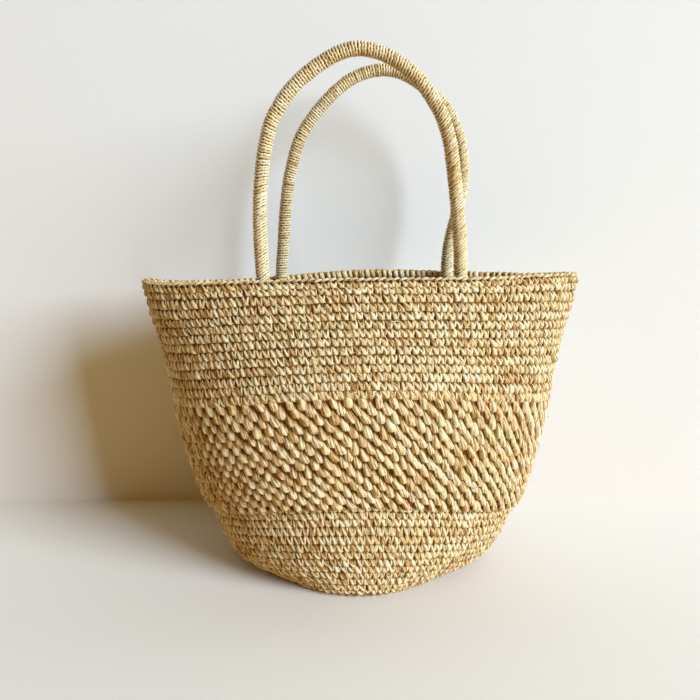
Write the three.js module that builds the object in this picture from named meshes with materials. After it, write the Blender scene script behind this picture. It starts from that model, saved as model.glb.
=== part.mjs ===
// A crocheted raffia bucket bag: a flat round base, a wall worked in three bands of courses, a rolled
// edging round the mouth, and two upright handles of rope wrapped in raffia.
// The ends of each handle lie flat against the inside of the wall and are sewn down there.
// Millimetres. +Z is up, X runs along the wide side of the mouth, the origin is on the floor under
// the middle of the base.
import * as THREE from "three";

// Colours and finishes
const RAFFIA = { color: 0xd8b679, roughness: 0.78, metalness: 0 };
const SHADED_RAFFIA = { color: 0xc9a467, roughness: 0.8, metalness: 0 };
const WRAP_RAFFIA = { color: 0xd9bd84, roughness: 0.7, metalness: 0 };
const ROPE = { color: 0xb59a6e, roughness: 0.9, metalness: 0 };
const THREAD = { color: 0xcfae72, roughness: 0.75, metalness: 0 };

// Main sizes of the bag
const BASE_HALF_WIDTH = 90;
const BASE_HALF_DEPTH = 88;
const BELLY_HALF_DEPTH = 109.5;
const MOUTH_HALF_WIDTH = 210.5;
const MOUTH_HALF_DEPTH = 77;
const MOUTH_HEIGHT = 297;
const WALL_THICKNESS = 6;

// The inner face of the wall, station by station from the base to the mouth. Each row gives half the width
// at the ends of the long axis and the height there, then half the depth at the middle of the front and back
// and the height there.
const LOWER_STATIONS = [
  [BASE_HALF_WIDTH, 6.6, BASE_HALF_DEPTH, 6.6],
  [124, 13, BELLY_HALF_DEPTH - 13.5, 33],
  [141, 31, BELLY_HALF_DEPTH - 7.5, 64],
  [148, 55, BELLY_HALF_DEPTH - 4.5, 98],
];
const PUFF_STATIONS = [
  [157.5, 72, BELLY_HALF_DEPTH - 2, 119],
  [165.5, 92, BELLY_HALF_DEPTH - 0.5, 140],
  [172.5, 115, BELLY_HALF_DEPTH, 161],
  [179, 143, BELLY_HALF_DEPTH - 1, 182],
  [186.5, 177, BELLY_HALF_DEPTH - 3.5, 203.5],
];
const UPPER_STATIONS = [
  [191.5, 209, BELLY_HALF_DEPTH - 8, 229],
  [197, 239, BELLY_HALF_DEPTH - 14, 253],
  [204.5, 267, BELLY_HALF_DEPTH - 22.5, 276],
  [MOUTH_HALF_WIDTH, MOUTH_HEIGHT - 1, MOUTH_HALF_DEPTH, MOUTH_HEIGHT],
];
const WALL_STATIONS = [...LOWER_STATIONS, ...PUFF_STATIONS, ...UPPER_STATIONS];
const BASE_EDGE = 0;
const LOWER_TOP = LOWER_STATIONS.length - 1;
const PUFF_TOP = LOWER_TOP + PUFF_STATIONS.length;
const MOUTH = PUFF_TOP + UPPER_STATIONS.length;

// The bag sags: LOWER_SAG moves the top of the lower band to +X, MOUTH_TILT raises the +X end of the mouth,
// and the rim stands RIM_RISE higher or lower, every 30 degrees from its +X end towards +Y.
const LOWER_SAG = 3.5;
const MOUTH_TILT = 3;
const RIM_RISE = [-1.5, -6.1, -7.1, -5.6, -11, -8.9, -1, -1.4, 1.5, 3.3, 1.9, 2.8];

// Each band: its courses, where the crest of a course lies, and how proud the crests stand over the grooves.
const LOWER_BAND = {
  from: BASE_EDGE, to: LOWER_TOP, courses: 8, crest: 0.5, ridge: 0.9,
  bottomThickness: WALL_THICKNESS, topThickness: WALL_THICKNESS,
};
const PUFF_BAND = {
  from: LOWER_TOP, to: PUFF_TOP, courses: 14, crest: 0.3, ridge: 1.4,
  bottomThickness: 11, topThickness: 7.5,
};
const UPPER_BAND = {
  from: PUFF_TOP, to: MOUTH, courses: 14, crest: 0.5, ridge: 0.9,
  bottomThickness: WALL_THICKNESS, topThickness: WALL_THICKNESS,
};

// The base and the edging round the mouth
const BASE_ROUNDS = 5;
const BASE_ROUND_RIDGE = 0.6;
const BASE_FOOT_SHARE = 0.94;
const EDGING_RADIUS = 3.8;

// The handles. spacing is between a handle's two legs, rise is the height of the crown over the mouth,
// and swell is how far the shoulders stand outside a plain superellipse, as a share of its width.
const ROPE_RADIUS = 6.6;
const CORE_RADIUS = 4.7;
const HANDLE_SPACING = 180;
const ARCH_POWER = 2.35;
const FRONT_HANDLE = { name: "front", side: -1, rise: 199, legShift: 1, crownShift: -3, swell: 0.05 };
const BACK_HANDLE = { name: "back", side: 1, rise: 211.5, legShift: 5.5, crownShift: 22, swell: 0.14 };
const LEAN_SHARE = 0.6;
// The stretch of rope that flexes when a handle folds over the mouth
const FLEX_ABOVE = 14;
const FLEX_BELOW = 8;
// The sewn end: its length, and its half width and half thickness where the thread has drawn it flat
const TAIL_LENGTH = 38;
const TAIL_HALF_WIDTH = 8;
const TAIL_HALF_THICKNESS = 5;
const THREAD_RADIUS = 1.2;
const THREAD_PASSES = 4;
const THREAD_TOP_SHARE = 0.5;
const THREAD_SPREAD_SHARE = 0.42;
const THREAD_SLACK = 1;

// Clearances between pieces that touch. SEAM_STEP is the gap between two bands, in stations.
const SEAM_GAP = 0.3;
const SEAM_STEP = 0.017;
const WALL_GAP = 0.6;

// Facets
const WALL_SEGMENTS = 40;
const INNER_STEPS = 4;
const EDGING_SIDES = 8;
const ROPE_SIDES = 10;
const CORE_SIDES = 8;
const ARCH_STEPS = 36;
const THREAD_SIDES = 5;
const THREAD_STEPS = 40;

// A closed mesh through rings of points. A closed set of rings joins its last ring to its first.
// An open set is capped at both ends.
function skin(rings, closed) {
  const sides = rings[0].length;
  const positions = rings.flat().flatMap((p) => [p.x, p.y, p.z]);
  const index = [];
  const ringPairs = closed ? rings.length : rings.length - 1;
  for (let i = 0; i < ringPairs; i++) {
    const here = i * sides;
    const next = ((i + 1) % rings.length) * sides;
    for (let j = 0; j < sides; j++) {
      const k = (j + 1) % sides;
      index.push(here + j, here + k, next + k, here + j, next + k, next + j);
    }
  }
  if (!closed) {
    for (const end of [0, rings.length - 1]) {
      const middle = new THREE.Vector3();
      rings[end].forEach((p) => middle.addScaledVector(p, 1 / sides));
      const hub = positions.length / 3;
      positions.push(middle.x, middle.y, middle.z);
      for (let j = 0; j < sides; j++) {
        const a = end * sides + j;
        const b = end * sides + ((j + 1) % sides);
        index.push(...(end === 0 ? [hub, b, a] : [hub, a, b]));
      }
    }
  }
  const geometry = new THREE.BufferGeometry();
  geometry.setAttribute("position", new THREE.Float32BufferAttribute(positions, 3));
  geometry.setIndex(signedVolume(positions, index) < 0 ? index.reverse() : index);
  geometry.computeVertexNormals();
  return geometry;
}

function signedVolume(positions, index) {
  const corner = (i) => new THREE.Vector3().fromArray(positions, index[i] * 3);
  let volume = 0;
  for (let i = 0; i < index.length; i += 3) {
    volume += corner(i).dot(corner(i + 1).cross(corner(i + 2))) / 6;
  }
  return volume;
}

const profile = (column) => new THREE.SplineCurve(
  WALL_STATIONS.map((station) => new THREE.Vector2(station[column], station[column + 1])));
const SIDE_PROFILE = profile(0);
const FRONT_PROFILE = profile(2);
const RIM_LINE = new THREE.CatmullRomCurve3(
  RIM_RISE.map((rise) => new THREE.Vector3(0, 0, rise)), true, "catmullrom", 0.5);

// A point on the inner face of the wall. level counts the stations, angle turns from +X to +Y.
function innerPoint(level, angle) {
  const side = SIDE_PROFILE.getPoint(level / MOUTH);
  const front = FRONT_PROFILE.getPoint(level / MOUTH);
  const across = Math.cos(angle);
  const along = Math.sin(angle);
  const sag = Math.min(level / LOWER_TOP, (MOUTH - level) / (MOUTH - LOWER_TOP));
  const tilt = MOUTH_TILT * (level / MOUTH);
  const rim = RIM_LINE.getPoint(THREE.MathUtils.euclideanModulo(angle / (2 * Math.PI), 1)).z;
  const rimShare = Math.max(0, (level - LOWER_TOP) / (MOUTH - LOWER_TOP)) ** 2;
  return new THREE.Vector3(
    LOWER_SAG * sag + side.x * across,
    front.x * along,
    side.y * across * across + front.y * along * along + tilt * across + rim * rimShare,
  );
}

// The wall's own directions at a point: round the mouth, up the wall and straight out of it.
function wallFrame(level, angle) {
  const step = 1e-3;
  const low = Math.max(0, level - step);
  const high = Math.min(MOUTH, level + step);
  const round = innerPoint(level, angle + step).sub(innerPoint(level, angle - step)).normalize();
  const rise = innerPoint(high, angle).sub(innerPoint(low, angle)).normalize();
  const out = new THREE.Vector3().crossVectors(round, rise).normalize();
  return { point: innerPoint(level, angle), round, rise, out };
}

function wallPoint(level, angle, depth) {
  const { point, out } = wallFrame(level, angle);
  return point.addScaledVector(out, depth);
}

const turnsOf = (count) => Array.from({ length: count }, (_, i) => (i / count) * 2 * Math.PI);

// One band of the wall. Its outer face has a groove between courses and a crest on each course.
function bandGeometry(band) {
  const start = band.from + SEAM_STEP;
  const levelAt = (share) => THREE.MathUtils.lerp(start, band.to, share);
  const thicknessAt = (share) => THREE.MathUtils.lerp(band.bottomThickness, band.topThickness, share);
  const outerPoint = (share, angle, lift) => wallPoint(levelAt(share), angle, thicknessAt(share) + lift);
  const rings = turnsOf(WALL_SEGMENTS).map((angle) => {
    const outer = [];
    for (let course = 0; course < band.courses; course++) {
      outer.push(outerPoint(course / band.courses, angle, -band.ridge));
      outer.push(outerPoint((course + band.crest) / band.courses, angle, 0));
    }
    outer.push(outerPoint(1, angle, -band.ridge));
    const inner = [];
    for (let i = INNER_STEPS; i >= 0; i--) {
      inner.push(innerPoint(levelAt(i / INNER_STEPS), angle));
    }
    return [...outer, ...inner];
  });
  return skin(rings, true);
}

// The base: a disc worked in rounds, whose edge meets the foot of the lower band.
function baseGeometry() {
  const edgeRing = (depth) => turnsOf(WALL_SEGMENTS).map((angle) => {
    const { point, rise, out } = wallFrame(BASE_EDGE, angle);
    return point.addScaledVector(out, depth).addScaledVector(rise, -SEAM_GAP);
  });
  const scaled = (ring, share, height) => ring.map((p) => new THREE.Vector3(p.x * share, p.y * share, height));
  const topEdge = edgeRing(0);
  const lowEdge = edgeRing(WALL_THICKNESS - LOWER_BAND.ridge);
  const topHeight = WALL_STATIONS[BASE_EDGE][1];
  const rings = [];
  for (let i = 1; i < 2 * BASE_ROUNDS; i++) {
    const groove = i % 2 === 0 ? BASE_ROUND_RIDGE : 0;
    rings.push(scaled(topEdge, i / (2 * BASE_ROUNDS), topHeight - groove));
  }
  rings.push(topEdge, lowEdge, scaled(lowEdge, BASE_FOOT_SHARE, 0));
  return skin(rings, false);
}

// The middle of the edging, which sits on top of the wall.
function edgingCentre(angle) {
  const { point, rise, out } = wallFrame(MOUTH, angle);
  return point.addScaledVector(out, WALL_THICKNESS / 2).addScaledVector(rise, EDGING_RADIUS + SEAM_GAP);
}

function edgingGeometry() {
  const rings = turnsOf(WALL_SEGMENTS).map((angle) => {
    const { rise, out } = wallFrame(MOUTH, angle);
    return turnsOf(EDGING_SIDES).map((turn) => edgingCentre(angle)
      .addScaledVector(out, EDGING_RADIUS * Math.cos(turn + Math.PI / EDGING_SIDES))
      .addScaledVector(rise, EDGING_RADIUS * Math.sin(turn + Math.PI / EDGING_SIDES)));
  });
  return skin(rings, true);
}

// Where one leg of a handle passes the mouth. leg is -1 for the leg towards -X and 1 for the other.
function legPlace(handle, leg) {
  const reach = handle.legShift + leg * HANDLE_SPACING / 2;
  const acute = Math.acos(reach / WALL_STATIONS[MOUTH][0]);
  const angle = handle.side * acute;
  return { angle, edging: edgingCentre(angle) };
}

// The line that a handle folds about: the middle of the edging, level between its two legs.
function foldLine(handle) {
  const legs = [-1, 1].map((leg) => legPlace(handle, leg).edging);
  const depth = Math.min(...legs.map((p) => Math.abs(p.y)));
  const height = (legs[0].z + legs[1].z) / 2;
  return { y: handle.side * depth, z: height };
}

// The plane that a handle stands in, just inside the edging.
function handlePlane(handle) {
  const inward = EDGING_RADIUS + WALL_GAP + ROPE_RADIUS;
  return foldLine(handle).y - handle.side * inward;
}

// How far an arch's centre line lies along X at a height, given as a share of its rise.
// across is the place on a plain superellipse, from -1 to 1.
function archReach(handle, across, up) {
  const lean = THREE.MathUtils.smoothstep(up, 0, LEAN_SHARE);
  const shift = THREE.MathUtils.lerp(handle.legShift, handle.crownShift, lean);
  const fullness = 1 + handle.swell * Math.sin(Math.PI * up ** 2);
  return shift + (across * fullness * HANDLE_SPACING) / 2;
}

// The centre line of a handle's arch, a full-shouldered superellipse that leans sideways towards its crown.
class HandleArch extends THREE.Curve {
  constructor(handle) {
    super();
    this.handle = handle;
    this.base = foldLine(handle).z;
    this.plane = handlePlane(handle);
    this.arcLengthDivisions = 800;
  }

  getPoint(share) {
    const turn = Math.PI * (1 - share);
    const power = 2 / ARCH_POWER;
    const across = Math.sign(Math.cos(turn)) * Math.abs(Math.cos(turn)) ** power;
    const up = Math.max(0, Math.sin(turn)) ** power;
    return new THREE.Vector3(
      archReach(this.handle, across, up),
      this.plane,
      this.base + up * this.handle.rise,
    );
  }
}

// A point on the left or right leg of an arch at a height over the fold line.
function legPoint(arch, leg, height) {
  const up = height / arch.handle.rise;
  const across = leg * (1 - up ** ARCH_POWER) ** (1 / ARCH_POWER);
  return new THREE.Vector3(archReach(arch.handle, across, up), arch.plane, arch.base + height);
}

// Evenly spaced points of an arch above its two flexing stretches.
function archPoints(arch) {
  const fine = arch.getSpacedPoints(ARCH_STEPS * 20);
  const raised = fine.filter((p) => p.z > arch.base + FLEX_ABOVE + SEAM_GAP);
  const ends = [-1, 1].map((leg) => legPoint(arch, leg, FLEX_ABOVE + SEAM_GAP));
  const dense = new THREE.CatmullRomCurve3([ends[0], ...raised.filter((_, i) => i % 10 === 5), ends[1]]);
  dense.arcLengthDivisions = 2000;
  return dense.getSpacedPoints(ARCH_STEPS);
}

// Rings round a path that lies in a plane of constant Y. The first and last rings are level.
function ropeRings(path, radius, sides) {
  return path.map((centre, i) => {
    const ahead = path[Math.min(i + 1, path.length - 1)];
    const behind = path[Math.max(i - 1, 0)];
    const along = ahead.clone().sub(behind).normalize();
    if (i === 0) along.set(0, 0, 1);
    if (i === path.length - 1) along.set(0, 0, -1);
    const beside = new THREE.Vector3(along.z, 0, -along.x);
    return turnsOf(sides).map((turn) => centre.clone()
      .addScaledVector(beside, radius * Math.cos(turn))
      .addScaledVector(new THREE.Vector3(0, 1, 0), radius * Math.sin(turn)));
  });
}

// The raffia wrapping of a handle: a sleeve that is open at both ends, where the core comes through.
function wrapGeometry(path) {
  const outer = ropeRings(path, ROPE_RADIUS, ROPE_SIDES);
  const boreRadius = (CORE_RADIUS + SEAM_GAP) / Math.cos(Math.PI / ROPE_SIDES);
  const bore = ropeRings(path, boreRadius, ROPE_SIDES);
  const strips = [];
  for (let j = 0; j < ROPE_SIDES; j++) {
    strips.push([...outer.map((ring) => ring[j]), ...bore.map((ring) => ring[j]).reverse()]);
  }
  return skin(strips, true);
}

const coreGeometry = (path) => skin(ropeRings(path, CORE_RADIUS, CORE_SIDES), false);

// The flexing stretch of one leg, from the sewn end inside the mouth up to the arch.
function rootGeometry(arch, leg) {
  const top = legPoint(arch, leg, FLEX_ABOVE);
  const foot = legPoint(arch, leg, 0).setZ(arch.base - FLEX_BELOW);
  const levels = [0, 0.25, 0.5, 0.75, 1];
  const rings = levels.map((share) => {
    const centre = foot.clone().lerp(top, share);
    return turnsOf(ROPE_SIDES).map((turn) => centre.clone().add(
      new THREE.Vector3(ROPE_RADIUS * Math.cos(turn), ROPE_RADIUS * Math.sin(turn), 0)));
  });
  return skin(rings, false);
}

// The level on the wall that lies a given distance below the mouth, on one leg's line.
function levelBelowMouth(angle, distance) {
  const lower = innerPoint(PUFF_TOP, angle);
  const share = distance / lower.distanceTo(innerPoint(MOUTH, angle));
  return THREE.MathUtils.lerp(MOUTH, PUFF_TOP, share);
}

// The sewn end of a leg: round where it leaves the flexing stretch, drawn flat against the wall below.
function tailGeometry(arch, leg) {
  const { angle } = legPlace(arch.handle, leg);
  const top = legPoint(arch, leg, 0).setZ(arch.base - FLEX_BELOW - SEAM_GAP);
  const rings = [turnsOf(ROPE_SIDES).map((turn) => top.clone().add(
    new THREE.Vector3(ROPE_RADIUS * Math.cos(turn), ROPE_RADIUS * Math.sin(turn), 0)))];
  const start = EDGING_RADIUS + FLEX_BELOW;
  const ease = [0.3, 0.55, 0.8, 1];
  for (const share of ease) {
    const { point, round, out } = wallFrame(levelBelowMouth(angle, start + share * TAIL_LENGTH), angle);
    const halfWidth = THREE.MathUtils.lerp(ROPE_RADIUS, TAIL_HALF_WIDTH, share);
    const halfThickness = THREE.MathUtils.lerp(ROPE_RADIUS, TAIL_HALF_THICKNESS, Math.min(1, 2 * share));
    const centre = point.addScaledVector(out, -(WALL_GAP + halfThickness));
    const beside = round.clone().multiplyScalar(-arch.handle.side);
    rings.push(turnsOf(ROPE_SIDES).map((turn) => centre.clone()
      .addScaledVector(beside, halfWidth * Math.cos(turn))
      .addScaledVector(out, arch.handle.side * halfThickness * Math.sin(turn))));
  }
  return skin(rings, false);
}

// The thread that sews an end down: it crosses over the end and back, a little lower each time.
function threadGeometry(arch, leg) {
  const { angle } = legPlace(arch.handle, leg);
  const start = EDGING_RADIUS + FLEX_BELOW + THREAD_TOP_SHARE * TAIL_LENGTH;
  const spread = THREAD_SPREAD_SHARE * TAIL_LENGTH;
  const overWidth = TAIL_HALF_WIDTH + THREAD_SLACK + THREAD_RADIUS;
  const overHeight = TAIL_HALF_THICKNESS + THREAD_SLACK + THREAD_RADIUS;
  const points = [];
  for (let pass = 0; pass < THREAD_PASSES; pass++) {
    const below = start + (spread * pass) / (THREAD_PASSES - 1);
    const { point, round, out } = wallFrame(levelBelowMouth(angle, below), angle);
    const at = (beside, height) => point.clone()
      .addScaledVector(round, beside * (pass % 2 ? -1 : 1))
      .addScaledVector(out, -height);
    points.push(at(-overWidth - THREAD_RADIUS, WALL_GAP + 2 * THREAD_RADIUS));
    for (const turn of [0, 0.25, 0.5, 0.75, 1].map((share) => share * Math.PI)) {
      points.push(at(-Math.cos(turn) * overWidth, WALL_GAP + TAIL_HALF_THICKNESS + Math.sin(turn) * overHeight));
    }
    points.push(at(overWidth + THREAD_RADIUS, WALL_GAP + 2 * THREAD_RADIUS));
  }
  const path = new THREE.CatmullRomCurve3(points, false, "catmullrom", 0.4);
  const section = new THREE.Shape(turnsOf(THREAD_SIDES).map((turn) => new THREE.Vector2(
    THREAD_RADIUS * Math.cos(turn), THREAD_RADIUS * Math.sin(turn))));
  return new THREE.ExtrudeGeometry(section, { steps: THREAD_STEPS, extrudePath: path });
}

function piece(name, geometry, finish) {
  const mesh = new THREE.Mesh(geometry, new THREE.MeshStandardMaterial(finish));
  mesh.name = name;
  return mesh;
}

function bagBody() {
  const body = new THREE.Group();
  body.add(
    piece("base_disc", baseGeometry(), SHADED_RAFFIA),
    piece("lower_wall", bandGeometry(LOWER_BAND), RAFFIA),
    piece("puff_band", bandGeometry(PUFF_BAND), RAFFIA),
    piece("upper_wall", bandGeometry(UPPER_BAND), RAFFIA),
    piece("mouth_edging", edgingGeometry(), RAFFIA),
  );
  return body;
}

function handleAssembly(handle) {
  const arch = new HandleArch(handle);
  const path = archPoints(arch);
  const group = new THREE.Group();
  group.add(
    piece(`${handle.name}_handle_wrap`, wrapGeometry(path), WRAP_RAFFIA),
    piece(`${handle.name}_handle_core`, coreGeometry(path), ROPE),
  );
  for (const [legName, leg] of [["left", -1], ["right", 1]]) {
    group.add(
      piece(`${handle.name}_${legName}_root`, rootGeometry(arch, leg), WRAP_RAFFIA),
      piece(`${handle.name}_${legName}_tail`, tailGeometry(arch, leg), WRAP_RAFFIA),
      piece(`${handle.name}_${legName}_thread`, threadGeometry(arch, leg), THREAD),
    );
  }
  return group;
}

const bag = new THREE.Group();
bag.add(bagBody(), handleAssembly(FRONT_HANDLE), handleAssembly(BACK_HANDLE));

export default bag;
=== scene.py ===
"""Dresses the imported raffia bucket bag: every crochet stitch, wrap and sewn end is a strand of its own."""

import logging
import math
from dataclasses import dataclass, field
from enum import Enum

import bpy
import numpy as np
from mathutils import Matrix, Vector


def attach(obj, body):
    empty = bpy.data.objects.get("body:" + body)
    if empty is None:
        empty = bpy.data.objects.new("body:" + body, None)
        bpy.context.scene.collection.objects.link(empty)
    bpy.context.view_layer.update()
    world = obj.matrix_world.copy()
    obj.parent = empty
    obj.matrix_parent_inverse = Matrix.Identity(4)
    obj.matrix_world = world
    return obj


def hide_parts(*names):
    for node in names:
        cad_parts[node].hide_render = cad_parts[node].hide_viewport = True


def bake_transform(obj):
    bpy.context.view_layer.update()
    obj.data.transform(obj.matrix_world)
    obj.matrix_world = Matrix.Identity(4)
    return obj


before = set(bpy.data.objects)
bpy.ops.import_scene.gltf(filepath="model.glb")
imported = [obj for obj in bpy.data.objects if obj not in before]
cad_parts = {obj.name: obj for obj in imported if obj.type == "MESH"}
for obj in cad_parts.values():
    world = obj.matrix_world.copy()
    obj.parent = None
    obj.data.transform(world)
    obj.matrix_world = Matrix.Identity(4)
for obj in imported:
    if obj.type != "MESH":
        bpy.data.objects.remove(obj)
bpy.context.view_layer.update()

LOG = logging.getLogger("raffia_bag")
MM = 0.001
FULL_TURN = 2 * math.pi
TINY = 1e-12
FORWARD = np.array([0.0, -1.0, 0.0])
PLAIN_HUE = 0.5
# The ground's low tone and depth paint it darker still, as shade between the stitches.
GROUND_SHADE = (0.4, PLAIN_HUE, 0.6)

Colour = tuple[float, float, float]
Place = tuple[float, float, float]
Feed = bpy.types.NodeSocket | float | tuple[float, ...]
Rows = tuple[tuple[float, float, float, float, float], ...]
Directions = tuple[np.ndarray, np.ndarray, np.ndarray, np.ndarray]


class Side(Enum):
    """The two long faces of the bag, by the sign of Y."""

    FRONT = -1
    BACK = 1


class Leg(Enum):
    """The two legs of a handle, by the sign of X."""

    LEFT = -1
    RIGHT = 1


class Face(Enum):
    """Which side of the wall a course of stitches shows on."""

    OUTER = "outer"
    INNER = "inner"


class Band(Enum):
    """The three bands of the wall, by their CAD nodes."""

    LOWER = "lower_wall"
    PUFF = "puff_band"
    UPPER = "upper_wall"


def linear(red: float, green: float, blue: float) -> Colour:
    """Turns a colour as it is seen on a screen into the shader's own scale.

    Args:
        red: The red part, from 0 to 255.
        green: The green part, from 0 to 255.
        blue: The blue part, from 0 to 255.

    Returns:
        The three parts from 0 to 1.
    """
    parts = [channel / 255 for channel in (red, green, blue)]
    return tuple(c / 12.92 if c <= 0.04045 else ((c + 0.055) / 1.055) ** 2.4 for c in parts)


def unit(vectors: np.ndarray) -> np.ndarray:
    """Scales vectors to length one."""
    return vectors / np.maximum(np.linalg.norm(vectors, axis=-1, keepdims=True), TINY)


def square_to(vectors: np.ndarray, ways: np.ndarray) -> np.ndarray:
    """Turns vectors square to unit directions, at length one."""
    return unit(vectors - ways * np.sum(vectors * ways, axis=-1, keepdims=True))


def moved(points: np.ndarray, *moves: tuple[np.ndarray, np.ndarray | float]) -> np.ndarray:
    """Moves points along directions.

    Args:
        points: The points.
        moves: Pairs of a direction and how far to go along it.

    Returns:
        The moved points.
    """
    for way, distance in moves:
        points = points + way * np.asarray(distance)[..., None]
    return points


def run_along(points: np.ndarray, power: float = 1.0) -> np.ndarray:
    """Adds up the steps along lines of points.

    Args:
        points: The points, with each line in the last axis but one.
        power: The power that each step is raised to.

    Returns:
        The sum at each point, from 0.
    """
    steps = np.linalg.norm(np.diff(points, axis=-2), axis=-1) ** power
    return np.concatenate([np.zeros_like(steps[..., :1]), np.cumsum(steps, axis=-1)], axis=-1)


def sampled(at: np.ndarray, known: np.ndarray, vectors: np.ndarray) -> np.ndarray:
    """Reads vectors between the places where they are known.

    Args:
        at: The places to read.
        known: The places where the vectors are known.
        vectors: The vectors there.

    Returns:
        A vector for each place.
    """
    return np.stack([np.interp(at, known, vectors[:, k]) for k in range(3)], axis=-1)


def cubic(
    start: np.ndarray, end: np.ndarray, leaving: np.ndarray, arriving: np.ndarray, share: np.ndarray
) -> np.ndarray:
    """Runs a smooth curve from one value to the next.

    Args:
        start: The value at the start.
        end: The value at the end.
        leaving: The slope at the start.
        arriving: The slope at the end.
        share: How far along the curve to read it, from 0 to 1.

    Returns:
        The values there.
    """
    bend = 3 * end - 3 * start - 2 * leaving - arriving
    twist = 2 * start - 2 * end + leaving + arriving
    return twist * share**3 + bend * share**2 + leaving * share + start


def smooth_curve(knots: np.ndarray, points: np.ndarray, at: np.ndarray) -> np.ndarray:
    """Runs a smooth curve through points.

    Args:
        knots: The parameter of each point.
        points: The points.
        at: The parameters to read the curve at.

    Returns:
        The curve's points.
    """
    slope = np.gradient(points, knots, axis=0)
    index = np.clip(np.searchsorted(knots, at, side="right") - 1, 0, len(knots) - 2)
    span = (knots[index + 1] - knots[index])[:, None]
    share = (at - knots[index])[:, None] / span
    return cubic(points[index], points[index + 1], span * slope[index], span * slope[index + 1], share)


def ring_quads(grid: np.ndarray) -> np.ndarray:
    """Makes the faces between neighbouring rings of points.

    Args:
        grid: The points' numbers, as rings by points round.

    Returns:
        The corners of each face.
    """
    beside = np.roll(grid, -1, axis=1)
    return np.stack([grid[:-1], beside[:-1], beside[1:], grid[1:]], axis=-1).reshape(-1, 4)


def feed(node: bpy.types.Node, inputs: dict[str | int, Feed]) -> None:
    """Feeds a node's inputs with sockets of other nodes or with plain values.

    Args:
        node: The node.
        inputs: What goes in, by the input's name or number.
    """
    for name, value in inputs.items():
        if isinstance(value, bpy.types.NodeSocket):
            node.id_data.links.new(value, node.inputs[name])
        else:
            node.inputs[name].default_value = value


def wired(
    tree: bpy.types.NodeTree, kind: str, output: str, inputs: dict[str | int, Feed], **settings: str
) -> bpy.types.NodeSocket:
    """Adds a node, feeds it and gives one of its outputs.

    Args:
        tree: The node tree.
        kind: The node's type, without the words that all of them start with.
        output: The output's name.
        inputs: What goes in, by the input's name or number.
        settings: The node's own settings.

    Returns:
        The output's socket.
    """
    node = tree.nodes.new(f"ShaderNode{kind}")
    for name, value in settings.items():
        setattr(node, name, value)
    feed(node, inputs)
    return node.outputs[output]


def reckoned(tree: bpy.types.NodeTree, operation: str, *values: Feed) -> bpy.types.NodeSocket:
    """Adds a node that works a value out of others."""
    return wired(tree, "Math", "Value", dict(enumerate(values)), operation=operation)


def blended(
    tree: bpy.types.NodeTree, share: Feed, start: Feed, end: Feed, kind: str = "MIX"
) -> bpy.types.NodeSocket:
    """Adds a node that goes from one colour towards another by a share."""
    inputs = {"Factor": share, "A": start, "B": end}
    return wired(tree, "Mix", "Result", inputs, data_type="RGBA", blend_type=kind)


def ranged(
    tree: bpy.types.NodeTree, value: Feed, span: tuple[float, float], result: tuple[float, float]
) -> bpy.types.NodeSocket:
    """Adds a node that turns a span of values into a span of results."""
    ends = zip(("From Min", "From Max", "To Min", "To Max"), (*span, *result))
    return wired(tree, "MapRange", "Result", {"Value": value, **dict(ends)})


def settle(piece: bpy.types.Object, node: str) -> None:
    """Rides a piece on the bag in place of a CAD node.

    Args:
        piece: The piece.
        node: The CAD node that it stands for.
    """
    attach(piece, "bag")
    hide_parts(node)


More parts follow.
